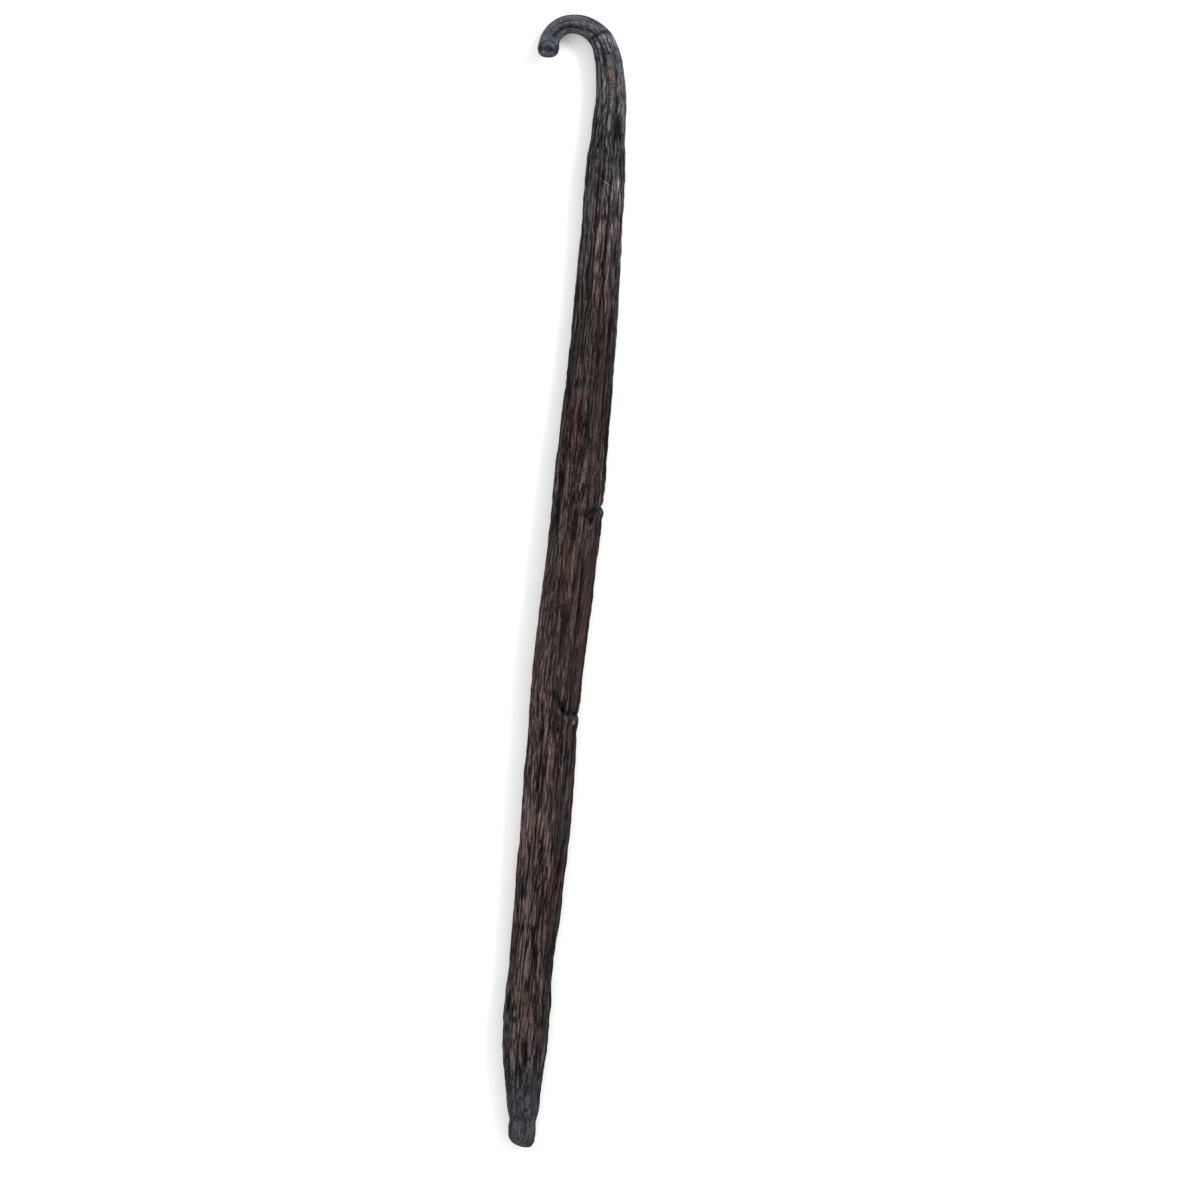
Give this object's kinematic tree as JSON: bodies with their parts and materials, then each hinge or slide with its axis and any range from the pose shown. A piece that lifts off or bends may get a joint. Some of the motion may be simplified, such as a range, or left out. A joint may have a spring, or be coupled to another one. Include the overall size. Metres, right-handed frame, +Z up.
{
  "type": "vanilla pod",
  "caption": "Whole cured vanilla pod, long, flattened and wrinkled, with its stem end bent round into a crook, lying flat.",
  "frame": {"origin": "on the surface that the pod lies on, under the centre of the pod's bounding box", "axes": "+Y along the pod towards the stem end with its crook, +Z up, away from the surface, +X to the side that the straight body leans to at its stem end"},
  "size_m": [0.0188, 0.1726, 0.0056],
  "materials": {
    "pod_skin": "dark brown wrinkled skin with a faint oily sheen, blue-grey at both ends"
  },
  "bodies": {
    "root": {"pod": "pod_skin"}
  },
  "joints": []
}
